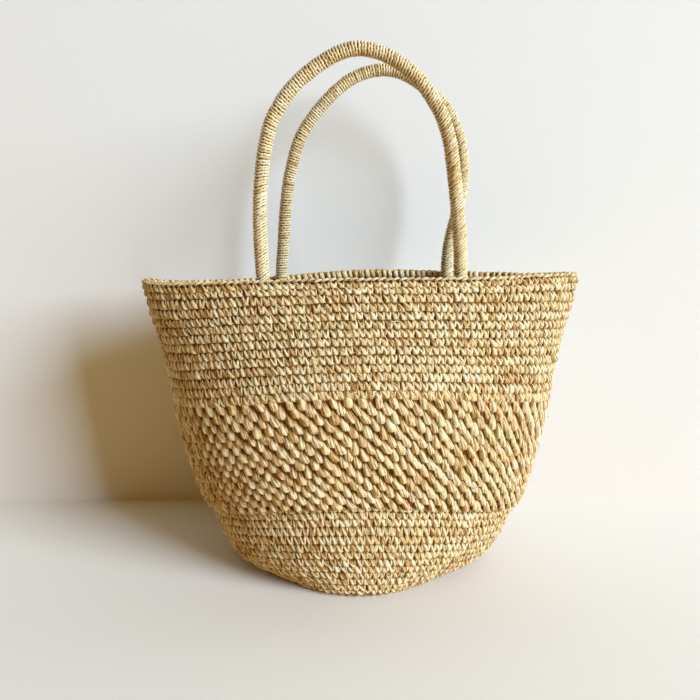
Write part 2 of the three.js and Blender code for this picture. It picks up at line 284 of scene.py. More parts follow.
@dataclass(frozen=True)
class RaffiaFinish:
    """Natural raffia: a satin palm strand with long fibres, some greener and some redder than the rest.

    The two sorts of fibres give changes for each millimetre across and along the strand. The three stops
    are where the shade, the body and the light colour lie. A tint starts at the first of its two hues
    and is strongest at the second. The hollow_shade colour is painted shade: the colour is darkened
    towards it where a strand lies sunk, along a strand's edges and underside, and in the fibres' creases,
    where the openness drops to the crease_shade share.
    """

    name: str
    shade: Colour = linear(196, 146, 70)
    body: Colour = linear(254, 229, 170)
    light: Colour = linear(255, 248, 214)
    stops: tuple[float, float, float] = (0.08, 0.48, 0.92)
    fresh: Colour = linear(216, 214, 148)
    fresh_hues: tuple[float, float] = (0.86, 1.0)
    rust: Colour = linear(226, 172, 126)
    rust_hues: tuple[float, float] = (0.16, 0.0)
    tint: float = 0.3
    hollow_shade: Colour = (0.42, 0.21, 0.04)
    coarse: tuple[float, float] = (0.75, 0.07)
    fine: tuple[float, float] = (2.8, 0.16)
    fibre_detail: float = 2.0
    fibre_roughness: float = 0.6
    streak: float = 2.0
    crease_shade: float = 0.42
    crease_span: tuple[float, float] = (0.36, 0.47)
    roughness: tuple[float, float] = (0.5, 0.74)
    specular: float = 0.3
    relief_mm: float = 0.7
    relief_strength: float = 0.8

    def material(self) -> bpy.types.Material:
        """Makes the material, or finds it if it is made already.

        Returns:
            The material, whose colour and relief follow each strand along its length.
        """
        found = bpy.data.materials.get(self.name)
        if found:
            return found
        made = bpy.data.materials.new(self.name)
        made.use_nodes = True
        tree = made.node_tree
        strand = wired(tree, "VertexColor", "Color", {}, layer_name="strand")
        parts = wired(tree, "SeparateColor", "Red", {"Color": strand}).node
        tone, hue, air = (parts.outputs[part] for part in ("Red", "Green", "Blue"))
        coarse, fine = (self.fibres(tree, fibres) for fibres in (self.coarse, self.fine))

        streaked = reckoned(tree, "MULTIPLY_ADD", coarse, self.streak, tone)
        centred = reckoned(tree, "SUBTRACT", streaked, self.streak / 2)
        colour = wired(tree, "ValToRGB", "Color", {"Fac": centred})
        ramp = colour.node.color_ramp.elements
        ramp.new(self.stops[1])
        for stop, position, shade in zip(ramp, self.stops, (self.shade, self.body, self.light)):
            stop.position = position
            stop.color = (*shade, 1)
        for tint, hues in ((self.fresh, self.fresh_hues), (self.rust, self.rust_hues)):
            colour = blended(tree, ranged(tree, hue, hues, (0.0, self.tint)), colour, (*tint, 1))

        # Painted shade: the openness from the strand's depth, cut down in the fibres' creases, darkens the
        # colour towards hollow_shade.
        lit = reckoned(tree, "MULTIPLY", air, ranged(tree, coarse, self.crease_span, (self.crease_shade, 1.0)))
        depth = blended(tree, lit, (*self.hollow_shade, 1), (1, 1, 1, 1))
        shaded = blended(tree, 1.0, colour, depth, kind="MULTIPLY")
        rough = ranged(tree, coarse, (0.0, 1.0), self.roughness)
        relief = wired(tree, "Bump", "Normal", {
            "Strength": self.relief_strength,
            "Distance": self.relief_mm * MM,
            "Height": reckoned(tree, "ADD", coarse, fine),
        })
        shader = tree.nodes["Principled BSDF"]
        shader.inputs["Specular IOR Level"].default_value = self.specular
        feed(shader, {"Base Color": shaded, "Roughness": rough, "Normal": relief})
        return made

    def fibres(self, tree: bpy.types.NodeTree, changes: tuple[float, float]) -> bpy.types.NodeSocket:
        """Adds a noise that is drawn out along the strand, as its fibres are.

        Args:
            tree: The material's nodes.
            changes: How often it changes for each millimetre across and along the strand.

        Returns:
            The noise, from 0 to 1.
        """
        place = wired(tree, "UVMap", "UV", {}, uv_map="strand_mm")
        drawn = wired(tree, "Mapping", "Vector", {"Vector": place, "Scale": (*changes, 1)})
        return wired(
            tree, "TexNoise", "Fac",
            {"Vector": drawn, "Scale": 1.0, "Detail": self.fibre_detail, "Roughness": self.fibre_roughness},
            noise_dimensions="2D",
        )


@dataclass(frozen=True)
class PlainFinish:
    """A plain matt colour of the room.

    The bounce is the colour that it throws back on other things, where that differs from the colour it
    shows. A one-sided finish can be looked through from behind.
    """

    name: str
    colour: Colour
    bounce: Colour | None = None
    one_sided: bool = False
    roughness: float = 0.9
    specular: float = 0.1

    def material(self) -> bpy.types.Material:
        """Makes the material.

        Returns:
            The material.
        """
        made = bpy.data.materials.new(self.name)
        made.use_nodes = True
        tree = made.node_tree
        shader = tree.nodes["Principled BSDF"]
        shader.inputs["Base Color"].default_value = (*self.colour, 1)
        shader.inputs["Roughness"].default_value = self.roughness
        shader.inputs["Specular IOR Level"].default_value = self.specular
        if self.bounce:
            ray = wired(tree, "LightPath", "Is Diffuse Ray", {})
            feed(shader, {"Base Color": blended(tree, ray, (*self.colour, 1), (*self.bounce, 1))})
        if self.one_sided:
            behind = wired(tree, "NewGeometry", "Backfacing", {})
            clear = wired(tree, "BsdfTransparent", "BSDF", {})
            mixed = wired(tree, "MixShader", "Shader", {"Fac": behind, 1: shader.outputs["BSDF"], 2: clear})
            feed(tree.nodes["Material Output"], {"Surface": mixed})
        return made


WALL_RAFFIA = RaffiaFinish("wall_raffia")
# The ground behind the stitches: a darker raffia, painted shade where it shows between them.
SHADE_DARK_GROUND_RAFFIA = RaffiaFinish(
    "ground_raffia", shade=linear(128, 84, 32), body=linear(164, 118, 54), light=linear(190, 144, 78)
)
# A darker copy of the wall's raffia for the inside faces: painted shade inside the bag.
SHADED_INNER_RAFFIA = RaffiaFinish(
    "inner_raffia", shade=linear(150, 116, 66), body=linear(212, 184, 130), light=linear(240, 222, 178)
)
WRAP_RAFFIA = RaffiaFinish(
    "wound_raffia", shade=linear(206, 160, 80), body=linear(254, 231, 172), light=linear(255, 249, 216),
    hollow_shade=(0.40, 0.22, 0.06), streak=1.4, roughness=(0.44, 0.68), crease_shade=0.65,
)


@dataclass(frozen=True)
class WallForm:
    """The inner face of the wall and the wall's thickness, in millimetres, as the CAD frame has them.

    Each station gives half the width at the ends of the long axis and the height there, then half the
    depth at the middle of the front and back and the height there. A level counts the stations from the
    base, and an angle goes from +X towards +Y, in radians.
    """

    stations: tuple[tuple[float, float, float, float], ...] = (
        (90, 6.6, 88, 6.6),
        (124, 13, 96, 33),
        (143, 36, 102, 64),
        (153.5, 65, 105, 98),
        (162, 83, 107.5, 119),
        (168.3, 101, 109, 140),
        (174, 121.5, 109.5, 161),
        (180, 147, 108.5, 182),
        (186.5, 177, 106, 203.5),
        (191.5, 209, 101.5, 229),
        (197, 239, 95.5, 253),
        (204.5, 267, 87, 276),
        (210.5, 296, 77, 297),
    )
    lower_top: int = 3
    puff_top: int = 8
    thickness: float = 6.0
    sag: float = 3.5
    tilt: float = 3
    rim_rise: tuple[float, ...] = (-1.5, -6.1, -7.1, -5.6, -11, -8.9, -1, -1.4, 1.5, 3.3, 1.9, 2.8)
    step: float = 1e-3
    fine_steps: int = 2881

    @property
    def mouth(self) -> int:
        """The level of the mouth."""
        return len(self.stations) - 1

    def profile(self, level: np.ndarray) -> np.ndarray:
        """Reads the four profile values at any level, which go straight on above the mouth.

        Args:
            level: The levels.

        Returns:
            An array with the four values in its last axis.
        """
        table = np.array(self.stations, float)
        level = np.asarray(level, float)
        low = np.clip(np.floor(level).astype(int), 0, self.mouth - 1)
        before, here, ahead, after = (table[np.clip(low + k, 0, self.mouth)] for k in (-1, 0, 1, 2))
        share = (np.minimum(level, self.mouth) - low)[..., None]
        beyond = np.maximum(level - self.mouth, 0)[..., None] * (table[-1] - table[-2])
        return cubic(here, ahead, (ahead - before) / 2, (after - here) / 2, share) + beyond

    def rim(self, angle: np.ndarray) -> np.ndarray:
        """Reads how far the rim stands above or below its station.

        Args:
            angle: The angles.

        Returns:
            The heights, in millimetres.
        """
        heights = np.array(self.rim_rise)
        place = np.mod(np.asarray(angle, float) / FULL_TURN, 1) * len(heights)
        low = np.floor(place).astype(int)
        before, here, ahead, after = (heights[(low + k) % len(heights)] for k in (-1, 0, 1, 2))
        return cubic(here, ahead, (ahead - before) / 2, (after - here) / 2, place - low)

    def point(self, level: np.ndarray, angle: np.ndarray) -> np.ndarray:
        """Finds points on the inner face.

        Args:
            level: The levels.
            angle: The angles.

        Returns:
            The points, in millimetres.
        """
        side_x, side_z, front_y, front_z = np.moveaxis(self.profile(level), -1, 0)
        across, along = np.cos(angle), np.sin(angle)
        settled = np.minimum(level / self.lower_top, (self.mouth - level) / (self.mouth - self.lower_top))
        x = self.sag * settled + side_x * across
        y = front_y * along
        z = side_z * across**2 + front_z * along**2 + self.tilt * level / self.mouth * across
        share = np.maximum(0, (level - self.lower_top) / (self.mouth - self.lower_top)) ** 2
        return np.stack([x, y, z + self.rim(angle) * share], axis=-1)

    def directions(self, level: np.ndarray, angle: np.ndarray) -> Directions:
        """Finds points on the inner face with the wall's own directions there.

        Args:
            level: The levels.
            angle: The angles.

        Returns:
            The points, and unit vectors round the wall, up it and out of it.
        """
        level, angle = np.broadcast_arrays(np.asarray(level, float), np.asarray(angle, float))
        low, high = np.maximum(level - self.step, 0), level + self.step
        round_way = unit(self.point(level, angle + self.step) - self.point(level, angle - self.step))
        up_way = unit(self.point(high, angle) - self.point(low, angle))
        return self.point(level, angle), round_way, up_way, unit(np.cross(round_way, up_way))

    def even_angles(self, level: float, count: int, phase: float) -> tuple[np.ndarray, float]:
        """Spaces stitches evenly round one course.

        Args:
            level: The course's level.
            count: How many stitches it has.
            phase: Where the first one starts, in stitches.

        Returns:
            The angle of each stitch's middle, and the width of one stitch in millimetres.
        """
        fine = np.linspace(-math.pi / 2, 1.5 * math.pi, self.fine_steps)
        run = run_along(self.point(np.full_like(fine, level), fine))
        wanted = ((np.arange(count) + phase) % count) * run[-1] / count
        return np.interp(wanted, run, fine), run[-1] / count


@dataclass
class StrandWork:
    """Gathers strands of raffia, each a closed plump lobe along a path, and makes one mesh of them.

    Sides is how many sides a strand's section has. The shades hold tone, hue, depth and 1 for each point,
    where a low depth paints shade, and the places its place on the strand, in millimetres, which starts
    anywhere within the fibre reach. The shade painted on a strand's edges never goes below the least open
    share.
    """

    name: str
    sides: int = 6
    end_bulge: float = 0.5
    girth_share: float = 4.5
    fibre_reach: float = 400.0
    least_open: float = 0.06
    points: list[np.ndarray] = field(default_factory=list)
    quads: list[np.ndarray] = field(default_factory=list)
    caps: list[np.ndarray] = field(default_factory=list)
    places: list[np.ndarray] = field(default_factory=list)
    shades: list[np.ndarray] = field(default_factory=list)
    count: int = 0
    random: np.random.Generator = field(init=False)

    def __post_init__(self) -> None:
        """Starts the piece's own random numbers, which its name sets."""
        self.random = np.random.default_rng(sum(map(ord, self.name)))

    def lay(
        self,
        path: np.ndarray,
        across: np.ndarray,
        out: np.ndarray,
        half_width: np.ndarray | float,
        half_depth: np.ndarray | float,
        tone: np.ndarray,
        hue: np.ndarray,
        depth: np.ndarray | float,
        edge: np.ndarray | float = 0.7,
    ) -> None:
        """Lays strands side by side.

        Args:
            path: The middle of each strand, as strands by points by 3, in millimetres.
            across: The direction of the strand's width.
            out: The direction of its thickness.
            half_width: Half the width at each point.
            half_depth: Half the thickness at each point.
            tone: How light each strand is, from 0 to 1.
            hue: Each strand's hue, from 0 to 1.
            depth: How far each point stands in the open, from 0 to 1; a low depth is painted as shade.
            edge: How open the strand's edges are against its top, from 0 to 1; a low value paints shade on
                its edges and underside.
        """
        strands, length, _ = path.shape
        across, out = (np.broadcast_to(way, path.shape) for way in (across, out))
        half_width, half_depth, depth, edge = (
            np.broadcast_to(value, (strands, length)) for value in (half_width, half_depth, depth, edge)
        )
        turn = np.arange(self.sides) / self.sides * FULL_TURN + math.pi / self.sides
        rings = moved(
            path[:, :, None],
            (across[:, :, None], half_width[..., None] * np.cos(turn)),
            (out[:, :, None], half_depth[..., None] * np.sin(turn)),
        )
        tips = [
            path[:, end] + unit(path[:, end] - path[:, beside]) * half_depth[:, end, None] * self.end_bulge
            for end, beside in ((0, 1), (-1, -2))
        ]
        lobes = np.concatenate([rings.reshape(strands, -1, 3), np.stack(tips, axis=1)], axis=1)
        self.points.append(lobes.reshape(-1, 3))

        girth = turn / FULL_TURN * (self.girth_share * (half_width + half_depth) / 2)[..., None]
        run = np.broadcast_to(run_along(path)[..., None], girth.shape)
        shift = self.random.uniform(0, self.fibre_reach, (strands, 2))
        place = np.stack([girth + shift[:, :1, None], run + shift[:, 1:, None]], axis=-1)
        shade = np.ones((strands, length, self.sides, 4))
        shade[..., 0] = tone[:, None, None]
        shade[..., 1] = hue[:, None, None]
        # Painted shade: a strand's edges and underside are darkened by its edge openness, and all of it by
        # its depth.
        painted_edge_shade = np.clip(1 - (1 - edge[..., None]) * (1 - np.sin(turn)), self.least_open, 1)
        shade[..., 2] = depth[..., None] * painted_edge_shade
        for kept, values in ((self.places, place), (self.shades, shade)):
            values = values.reshape(strands, -1, values.shape[-1])
            values = np.concatenate([values, values[:, :1], values[:, -1:]], axis=1)
            kept.append(values.reshape(-1, values.shape[-1]))

        each = length * self.sides + 2
        grid = np.arange(each - 2).reshape(length, self.sides)
        beside = np.roll(grid, -1, axis=1)
        tip = np.full(self.sides, each)
        quad = ring_quads(grid)
        cap = np.concatenate([
            np.stack([tip - 2, beside[0], grid[0]], axis=-1),
            np.stack([tip - 1, grid[-1], beside[-1]], axis=-1),
        ])
        if np.sum(np.cross(across, out)[:, :-1] * np.diff(path, axis=1)) < 0:
            quad, cap = quad[:, ::-1], cap[:, ::-1]
        first = self.count + np.arange(strands)[:, None, None] * each
        self.quads.append((quad + first).reshape(-1, 4))
        self.caps.append((cap + first).reshape(-1, 3))
        self.count += strands * each

    def add_rings(self, rings: np.ndarray, places: np.ndarray, shade: Colour, closed: bool = False) -> None:
        """Adds a surface through rings of points.

        Args:
            rings: The rings, as rings by points round by 3, in millimetres.
            places: The place of each point on its strand.
            shade: The tone, hue and depth of the whole surface.
            closed: Whether the last ring joins the first.
        """
        grid = self.count + np.arange(rings[..., 0].size).reshape(rings.shape[:2])
        self.shades.append(np.tile([*shade, 1.0], (grid.size, 1)))
        self.points.append(rings.reshape(-1, 3))
        self.places.append(places.reshape(-1, 2))
        self.quads.append(ring_quads(np.concatenate([grid, grid[:1]]) if closed else grid))
        self.count += grid.size

    def make(self, finish: RaffiaFinish) -> bpy.types.Object:
        """Makes the mesh.

        Args:
            finish: The raffia it is made of.

        Returns:
            The object, in metres.
        """
        points = np.concatenate(self.points) * MM
        quads = np.concatenate(self.quads)
        caps = np.concatenate(self.caps) if self.caps else np.empty((0, 3), int)
        corners = np.concatenate([quads.ravel(), caps.ravel()]).astype(np.int32)
        starts = np.concatenate([np.arange(len(quads)) * 4, len(quads) * 4 + np.arange(len(caps)) * 3])
        mesh = bpy.data.meshes.new(self.name)
        mesh.vertices.add(len(points))
        mesh.vertices.foreach_set("co", points.astype(np.float32).ravel())
        mesh.loops.add(len(corners))
        mesh.loops.foreach_set("vertex_index", corners)
        mesh.polygons.add(len(starts))
        mesh.polygons.foreach_set("loop_start", starts.astype(np.int32))
        mesh.update(calc_edges=True)
        places = mesh.uv_layers.new(name="strand_mm")
        places.data.foreach_set("uv", np.concatenate(self.places)[corners].astype(np.float32).ravel())
        shades = mesh.color_attributes.new("strand", "FLOAT_COLOR", "POINT")
        shades.data.foreach_set("color", np.concatenate(self.shades).astype(np.float32).ravel())
        mesh.shade_smooth()
        made = bpy.data.objects.new(self.name, mesh)
        bpy.context.scene.collection.objects.link(made)
        mesh.materials.append(finish.material())
        LOG.info("%s: %d triangles", self.name, 2 * len(quads) + len(caps))
        return made


@dataclass(frozen=True)
class StrandTones:
    """How the tone and hue of raffia go from stitch to stitch.

    A strand lasts for several stitches, so neighbours are mostly alike, and a few are much greener or redder.
    """

    strand_lasts: tuple[int, int] = (4, 16)
    tone: float = 0.52
    strand_spread: float = 0.09
    stitch_spread: float = 0.08
    hues: tuple[float, float] = (0.1, 0.93)
    hue_spread: float = 0.03
    odd_share: float = 0.09
    odd_hues: tuple[float, ...] = (0.0, 0.04, 0.97, 1.0)

    def draw(self, random: np.random.Generator, count: int) -> tuple[np.ndarray, np.ndarray]:
        """Draws the tone and hue of a row of stitches.

        Args:
            random: The piece's own random numbers.
            count: How many stitches the row has.

        Returns:
            The tone and the hue of each stitch, from 0 to 1.
        """
        tone, hue = np.empty(count), np.empty(count)
        start = 0
        while start < count:
            end = min(count, start + int(random.integers(*self.strand_lasts)))
            tone[start:end] = random.normal(self.tone, self.strand_spread)
            hue[start:end] = random.uniform(*self.hues)
            start = end
        tone += random.normal(0, self.stitch_spread, count)
        odd = random.random(count) < self.odd_share
        hue[odd] = random.choice(self.odd_hues, odd.sum())
        return np.clip(tone, 0, 1), np.clip(hue + random.normal(0, self.hue_spread, count), 0, 1)


TONES = StrandTones()


@dataclass(frozen=True)
class Lobe:
    """One strand of a stitch, as rows of x, y, height, half width and half thickness.

    x and y are shares of the stitch's width and of the course's height, the height and the half
    thickness are in millimetres, and the half width is a share of the stitch's width. A point that is
    sunk this deep is painted in full shade, and one that stands the open span higher is painted with no
    shade.
    """

    rows: Rows
    sunk: float = 0.6
    open_span: float = 2.6

    def columns(self) -> np.ndarray:
        """The rows' five columns, one after another."""
        return np.array(self.rows, float).T

    def open_air(self) -> np.ndarray:
        """How far each point stands in the open, from 0 to 1, which sets the shade painted on it."""
        return np.clip((self.columns()[2] + self.sunk) / self.open_span, 0, 1)


PLAIN_STITCH = (
    Lobe((
        (-0.52, 0.60, 1.0, 0.15, 0.9),
        (-0.41, 0.33, 2.8, 0.23, 1.3),
        (-0.22, 0.05, 3.6, 0.31, 1.5),
        (-0.04, -0.20, 4.0, 0.40, 1.7),
        (0.02, -0.48, 2.9, 0.38, 1.6),
    )),
    Lobe((
        (0.31, 0.60, 0.9, 0.14, 0.9),
        (0.36, 0.29, 2.7, 0.21, 1.3),
        (0.33, -0.06, 3.3, 0.24, 1.4),
        (0.24, -0.42, 2.8, 0.27, 1.4),
    )),
    Lobe((
        (-0.08, 0.40, 0.5, 0.16, 0.9),
        (0.02, 0.14, 2.4, 0.22, 1.2),
        (0.24, -0.20, 2.9, 0.25, 1.3),
        (0.50, -0.46, 1.8, 0.24, 1.2),
    )),
)
PUFF_STITCH = (
    Lobe((
        (-0.40, 1.05, -1.2, 0.10, 1.0),
        (-0.32, 0.60, 1.3, 0.14, 1.6),
        (-0.23, 0.12, 2.7, 0.16, 1.9),
        (-0.13, -0.34, 3.2, 0.175, 2.0),
        (-0.06, -0.67, 2.8, 0.165, 1.8),
        (0.01, -0.86, 0.4, 0.12, 1.2),
    )),
    Lobe((
        (-0.04, 1.05, -1.3, 0.10, 1.0),
        (0.02, 0.58, 1.0, 0.13, 1.5),
        (0.10, 0.10, 2.4, 0.15, 1.8),
        (0.17, -0.36, 2.9, 0.16, 1.9),
        (0.20, -0.69, 2.4, 0.15, 1.6),
        (0.18, -0.86, 0.2, 0.10, 1.0),
    )),
    Lobe((
        (-0.22, 1.15, -1.0, 0.10, 1.0),
        (-0.17, 0.70, 1.6, 0.15, 1.8),
        (-0.09, 0.20, 3.3, 0.18, 2.1),
        (0.01, -0.28, 4.2, 0.20, 2.3),
        (0.08, -0.67, 3.7, 0.195, 2.1),
        (0.11, -0.92, 0.9, 0.15, 1.4),
    )),
)
INNER_BAR = Lobe((
    (-0.50, 0.02, 0.0, 0.20, 0.9),
    (0.00, 0.10, 1.5, 0.30, 1.5),
    (0.50, 0.02, 0.0, 0.20, 0.9),
))


@dataclass
class Course:
    """One round of stitches on the wall."""

    low: float
    high: float
    count: int
    phase: float


@dataclass
class CourseWork:
    """Works courses of stitches on the wall's form.

    Slip and stand are how unevenly stitches lie and stand, in millimetres. Growth, lean, plump and the tone
    spread are shares. The waver is how far a course wanders round the wall and up it, in millimetres, in
    waves of which the first and last number are the swings. A plump strand also stands out by the lift.
    """

    form: WallForm = field(default_factory=WallForm)
    slip: float = 0.35
    waver: tuple[float, float] = (0.8, 0.5)
    swings: tuple[int, int] = (2, 15)
    growth: float = 0.08
    lean: float = 0.11
    lean_up: float = 0.5
    stand: float = 0.22
    plump: float = 0.2
    plump_lift: float = 0.9
    tone_spread: float = 0.07
    # How open the strands' edges are; a lower value paints more shade on them.
    edge: float = 0.6

    def wandering(self, random: np.random.Generator, angle: np.ndarray) -> np.ndarray:
        """Draws a slow wandering of one course.

        Args:
            random: The piece's own random numbers.
            angle: The angle of each stitch's middle.

        Returns:
            A smooth value for each stitch, mostly between -1 and 1, that closes on itself.
        """
        waves = range(*self.swings)
        swings = [random.normal(0, 1 / k) * np.sin(k * angle + random.uniform(0, FULL_TURN)) for k in waves]
        return np.sum(swings, axis=0)

    def work(
        self,
        piece: StrandWork,
        course: Course,
        lobes: tuple[Lobe, ...],
        thickness: float,
        face: Face = Face.OUTER,
        flat: bool = False,
        wobble: float = 1.0,
    ) -> None:
        """Works one course of stitches.

        Args:
            piece: The piece that it goes into.
            course: The course.
            lobes: The strands of one stitch.
            thickness: How far the face that it shows on lies out of the wall's inner face, in millimetres.
            face: Whether it shows outside or inside the bag.
            flat: Whether the strands lie along the course and not up it.
            wobble: How uneven the stitches are.
        """
        random, form, count = piece.random, self.form, course.count
        middle = (course.low + course.high) / 2
        angle, width = form.even_angles(middle, count, course.phase)
        low, high = (form.point(np.full_like(angle, level), angle) for level in (course.low, course.high))
        width = np.full((count, 1), width)
        rise = np.linalg.norm(high - low, axis=1, keepdims=True)
        point, round_way, up_way, out_way = (
            vectors[:, None] for vectors in form.directions(np.full_like(angle, middle), angle)
        )
        if face is Face.INNER:
            round_way, out_way = -round_way, -out_way
        tone, hue = TONES.draw(random, count)
        slip = random.normal(0, self.slip * wobble, (count, 2))
        slip = slip + self.wandering(random, angle)[:, None] * np.array(self.waver) * wobble
        slip = slip / np.hstack([width, rise])
        grow = 1 + random.normal(0, self.growth * wobble, (count, 1))
        lean = random.normal(0, self.lean * wobble, (count, 1))
        stand = random.normal(0, self.stand * wobble, (count, 1))
        for lobe in lobes:
            plump = random.normal(0, self.plump * wobble, (count, 1))
            beside, above, height, half_width, half_depth = lobe.columns()
            x = (beside * grow + slip[:, :1]) * width
            y = (above + slip[:, 1:]) * rise
            x, y = x - y * lean, y + x * lean * self.lean_up
            lift = thickness + height + stand + self.plump_lift * plump
            piece.lay(
                moved(point, (round_way, x), (up_way, y), (out_way, lift)),
                up_way if flat else round_way,
                out_way,
                half_width * (rise if flat else width) * grow * np.exp(plump),
                half_depth,
                np.clip(tone + random.normal(0, self.tone_spread, count), 0, 1),
                hue,
                lobe.open_air(),
                self.edge,
            )


@dataclass
class BagWall:
    """The wall: its bands of courses, its inner face and the ground that both are worked on.

    Each piece is named with its band, its first course and the one after its last.
    """

    form: WallForm = field(default_factory=WallForm)
    plain_width: float = 6.25
    puff_width: float = 13.6
    lower_courses: int = 13
    lower_twist: float = 0.37
    puff_courses: int = 16
    puff_twist: float = 0.43
    puff_start: float = 0.3
    puff_over: float = 0.4
    upper_courses: int = 14
    upper_twist: float = 0.86
    over_mouth: float = 0.16
    pieces: tuple[tuple[str, Band, int, int], ...] = (
        ("lower_courses_low", Band.LOWER, 0, 6),
        ("lower_courses_high", Band.LOWER, 6, 13),
        ("puff_stitches_low", Band.PUFF, 0, 8),
        ("puff_stitches_high", Band.PUFF, 8, 16),
        ("upper_courses_low", Band.UPPER, 0, 5),
        ("upper_courses_middle", Band.UPPER, 5, 10),
        ("upper_courses_high", Band.UPPER, 10, 14),
    )
    plain_sides: int = 5
    puff_sides: int = 6
    plain_stand: float = 4.7
    puff_low: float = 11.0
    puff_high: float = 7.5
    puff_stand: float = 6.4
    puff_tuck: float = 1.6
    puff_wobble: float = 1.15
    inner_stand: float = -1.9
    ground: float = 2.6
    ground_half: float = 0.4
    ground_levels: tuple[float, float, int] = (0.02, 0.17, 80)
    ground_columns: int = 180
    ground_scale: tuple[float, float] = (150.0, 25.0)
    puff_pit: float = 4.4
    puff_ends: float = 12.0

    def girth(self, level: float) -> float:
        """The length round the wall at a level, in millimetres."""
        return self.form.even_angles(level, 1, 0.0)[1]

    def courses(
        self, low: float, high: float, count: int, width: float, twist: float, fixed: bool = True
    ) -> list[Course]:
        """Lays out the courses of one band.

        Args:
            low: The level at which the band starts.
            high: The level at which it ends.
            count: How many courses it has.
            width: The width of a stitch, in millimetres.
            twist: How far each course is shifted against the last, in stitches.
            fixed: Whether every course has as many stitches as the highest.

        Returns:
            The courses, from the lowest up.
        """
        edges = np.linspace(low, high, count + 1)
        widest = round(self.girth(high) / width)
        rows = []
        for index, (start, end) in enumerate(zip(edges[:-1], edges[1:])):
            stitches = widest if fixed else round(self.girth((start + end) / 2) / width)
            rows.append(Course(start, end, stitches, (index * twist) % 1.0))
        return rows

    def bands(self) -> dict[Band, list[Course]]:
        """The courses of the three bands."""
        form, start = self.form, self.form.lower_top + self.puff_start
        top, mouth = form.puff_top + self.puff_over, form.mouth + self.over_mouth
        width = self.plain_width
        return {
            Band.LOWER: self.courses(0.0, start, self.lower_courses, width, self.lower_twist, fixed=False),
            Band.PUFF: self.courses(start, top, self.puff_courses, self.puff_width, self.puff_twist),
            Band.UPPER: self.courses(form.puff_top, mouth, self.upper_courses, width, self.upper_twist),
        }

    def puff_thickness(self, share: np.ndarray | float) -> np.ndarray | float:
        """The thickness of the puff band at a share of its height, in millimetres."""
        return self.puff_low + (self.puff_high - self.puff_low) * share

    def make(self) -> None:
        """Makes the pieces of the wall and puts them on the bag."""
        work = CourseWork(self.form)
        bands = self.bands()
        for name, band, first, last in self.pieces:
            puffs = band is Band.PUFF
            piece = StrandWork(name, sides=self.puff_sides if puffs else self.plain_sides)
            for index in range(first, last):
                course = bands[band][index]
                if puffs:
                    thick = self.puff_thickness((index + 0.5) / self.puff_courses)
                    tuck = self.puff_tuck if index == self.puff_courses - 1 else 0.0
                    stand = thick - self.puff_stand - tuck
                    work.work(piece, course, PUFF_STITCH, stand, wobble=self.puff_wobble)
                else:
                    work.work(piece, course, PLAIN_STITCH, self.form.thickness - self.plain_stand)
            settle(piece.make(WALL_RAFFIA), band.value)

        for band, courses in bands.items():
            inside = StrandWork(f"inner_face_{band.name.lower()}", sides=self.plain_sides)
            for course in courses:
                work.work(inside, course, (INNER_BAR,), self.inner_stand, Face.INNER, flat=True)
            settle(inside.make(SHADED_INNER_RAFFIA), band.value)
        settle(self.ground_cloth().make(SHADE_DARK_GROUND_RAFFIA), "upper_wall")

    def ground_cloth(self) -> StrandWork:
        """Makes the thin ground behind the stitches, which keeps light from passing between them.
        Its dark raffia is painted shade where it shows between the stitches.

        Returns:
            The piece.
        """
        piece = StrandWork("wall_ground")
        foot, over, rows = self.ground_levels
        levels = np.linspace(foot, self.form.mouth + over, rows)
        angles = np.linspace(0, FULL_TURN, self.ground_columns, endpoint=False)
        level, angle = np.meshgrid(levels, angles, indexing="ij")
        point, _, _, out = self.form.directions(level, angle)
        share = (level - self.form.lower_top) / (self.form.puff_top - self.form.lower_top)
        puffed = np.clip(share * self.puff_ends, 0, 1) * np.clip((1 - share) * self.puff_ends, 0, 1)
        thick = self.puff_thickness(np.clip(share, 0, 1)) - self.puff_pit
        outer = moved(point, (out, np.maximum(self.ground + self.ground_half, thick * puffed)))
        inner = moved(point, (out, self.ground - self.ground_half))
        places = np.stack([angle, level], axis=-1) * self.ground_scale
        rings = np.concatenate([outer, inner[::-1]])
        piece.add_rings(rings, np.concatenate([places, places[::-1]]), GROUND_SHADE, closed=True)
        return piece


